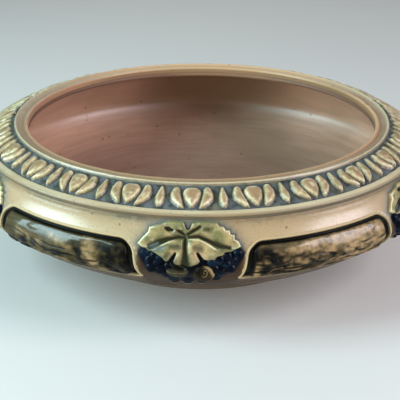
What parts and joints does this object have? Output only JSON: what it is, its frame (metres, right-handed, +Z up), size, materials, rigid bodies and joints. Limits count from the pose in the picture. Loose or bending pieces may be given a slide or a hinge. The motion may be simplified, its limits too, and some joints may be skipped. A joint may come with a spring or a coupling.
{
  "type": "centerpiece bowl",
  "caption": "Low wide earthenware centerpiece bowl with a dished lip, an egg-and-dart border, bark-textured panels and vine medallions round its belly, on a foot ring.",
  "frame": {"origin": "on the table at the middle of the foot ring's underside", "axes": "+Z up along the bowl's axis, -Y out through the medallion that the picture shows in front"},
  "size_m": [0.2272, 0.23, 0.063],
  "materials": {
    "body_glaze": "satin tan glaze over earthenware",
    "foot_glaze": "thin satin brown glaze, wiped",
    "lip_glaze": "satin cream-tan glaze, thin on the ridges",
    "border_glaze": "satin tan relief, grey-green stain in the hollows",
    "bark_glaze": "glossy brown and olive over bark relief",
    "leaf_glaze": "satin yellow-green over tan",
    "grape_glaze": "glossy blue-black",
    "rosette_glaze": "satin tan and green"
  },
  "bodies": {
    "root": {"bowl_body": "body_glaze", "foot_ring": "foot_glaze", "lip_ring": "lip_glaze", "shoulder_bead": "lip_glaze", "egg_sprig_01": "border_glaze", "egg_sprig_02": "border_glaze", "egg_sprig_03": "border_glaze", "egg_sprig_04": "border_glaze", "egg_sprig_05": "border_glaze", "egg_sprig_06": "border_glaze", "egg_sprig_07": "border_glaze", "egg_sprig_08": "border_glaze", "egg_sprig_09": "border_glaze", "egg_sprig_10": "border_glaze", "egg_sprig_11": "border_glaze", "egg_sprig_12": "border_glaze", "egg_sprig_13": "border_glaze", "egg_sprig_14": "border_glaze", "egg_sprig_15": "border_glaze", "egg_sprig_16": "border_glaze", "egg_sprig_17": "border_glaze", "egg_sprig_18": "border_glaze", "egg_sprig_19": "border_glaze", "egg_sprig_20": "border_glaze", "egg_sprig_21": "border_glaze", "egg_sprig_22": "border_glaze", "egg_sprig_23": "border_glaze", "egg_sprig_24": "border_glaze", "vine_leaf_1": "leaf_glaze", "grapes_left_1": "grape_glaze", "grapes_right_1": "grape_glaze", "rosette_1": "rosette_glaze", "bark_panel_1": "bark_glaze", "vine_leaf_2": "leaf_glaze", "grapes_left_2": "grape_glaze", "grapes_right_2": "grape_glaze", "rosette_2": "rosette_glaze", "bark_panel_2": "bark_glaze", "vine_leaf_3": "leaf_glaze", "grapes_left_3": "grape_glaze", "grapes_right_3": "grape_glaze", "rosette_3": "rosette_glaze", "bark_panel_3": "bark_glaze", "vine_leaf_4": "leaf_glaze", "grapes_left_4": "grape_glaze", "grapes_right_4": "grape_glaze", "rosette_4": "rosette_glaze", "bark_panel_4": "bark_glaze", "vine_leaf_5": "leaf_glaze", "grapes_left_5": "grape_glaze", "grapes_right_5": "grape_glaze", "rosette_5": "rosette_glaze", "bark_panel_5": "bark_glaze", "vine_leaf_6": "leaf_glaze", "grapes_left_6": "grape_glaze", "grapes_right_6": "grape_glaze", "rosette_6": "rosette_glaze", "bark_panel_6": "bark_glaze"}
  },
  "joints": []
}
